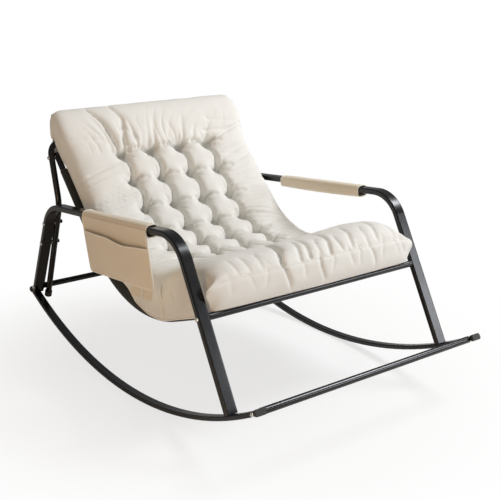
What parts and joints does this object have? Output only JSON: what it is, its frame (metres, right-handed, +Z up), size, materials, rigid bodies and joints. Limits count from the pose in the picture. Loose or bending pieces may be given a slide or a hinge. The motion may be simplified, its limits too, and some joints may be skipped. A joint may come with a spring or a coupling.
{
  "type": "outdoor rocking chair",
  "caption": "Low rocking lounge chair: bent black tube runners and arm arches, sling seat, long tufted cushion with head roll, canvas arm sleeves and a side pocket.",
  "frame": {"origin": "on the floor, midway between the runners, where both touch it at rest", "axes": "+Z is up, the chair faces -Y, and the sitter's right hand and the pocket are on the -X side"},
  "size_m": [0.9436, 1.4525, 0.8646],
  "materials": {
    "satin_black": "satin black powder coat",
    "black_plastic": "moulded black plastic",
    "zinc": "bright zinc plate",
    "black_steel": "black oxide",
    "canvas": "beige canvas",
    "sling_cloth": "black woven sling",
    "cushion_cloth": "cream cotton",
    "webbing": "beige webbing"
  },
  "bodies": {
    "root": {"right_rocker": "satin_black", "left_rocker": "satin_black", "right_arm_arch": "satin_black", "left_arm_arch": "satin_black", "front_rocker_bar": "satin_black", "rear_bar": "satin_black", "seat_front_bar": "satin_black", "right_seat_rail": "satin_black", "left_seat_rail": "satin_black", "back_top_bar": "satin_black", "back_hoop": "satin_black", "rocker_end_caps": "black_plastic", "rail_end_plugs": "black_plastic", "hoop_end_caps": "black_plastic", "bar_bolts": "zinc", "bar_inserts": "zinc", "hoop_bolts": "zinc", "rail_bolts": "zinc", "spacer_washers": "zinc", "hoop_nuts": "black_steel", "rail_nuts": "black_steel", "right_arm_sleeve": "canvas", "left_arm_sleeve": "canvas", "right_pocket": "canvas", "seat_sling": "sling_cloth", "cushion": "cushion_cloth", "cushion_hood": "cushion_cloth", "pocket_tabs": "webbing"}
  },
  "joints": []
}
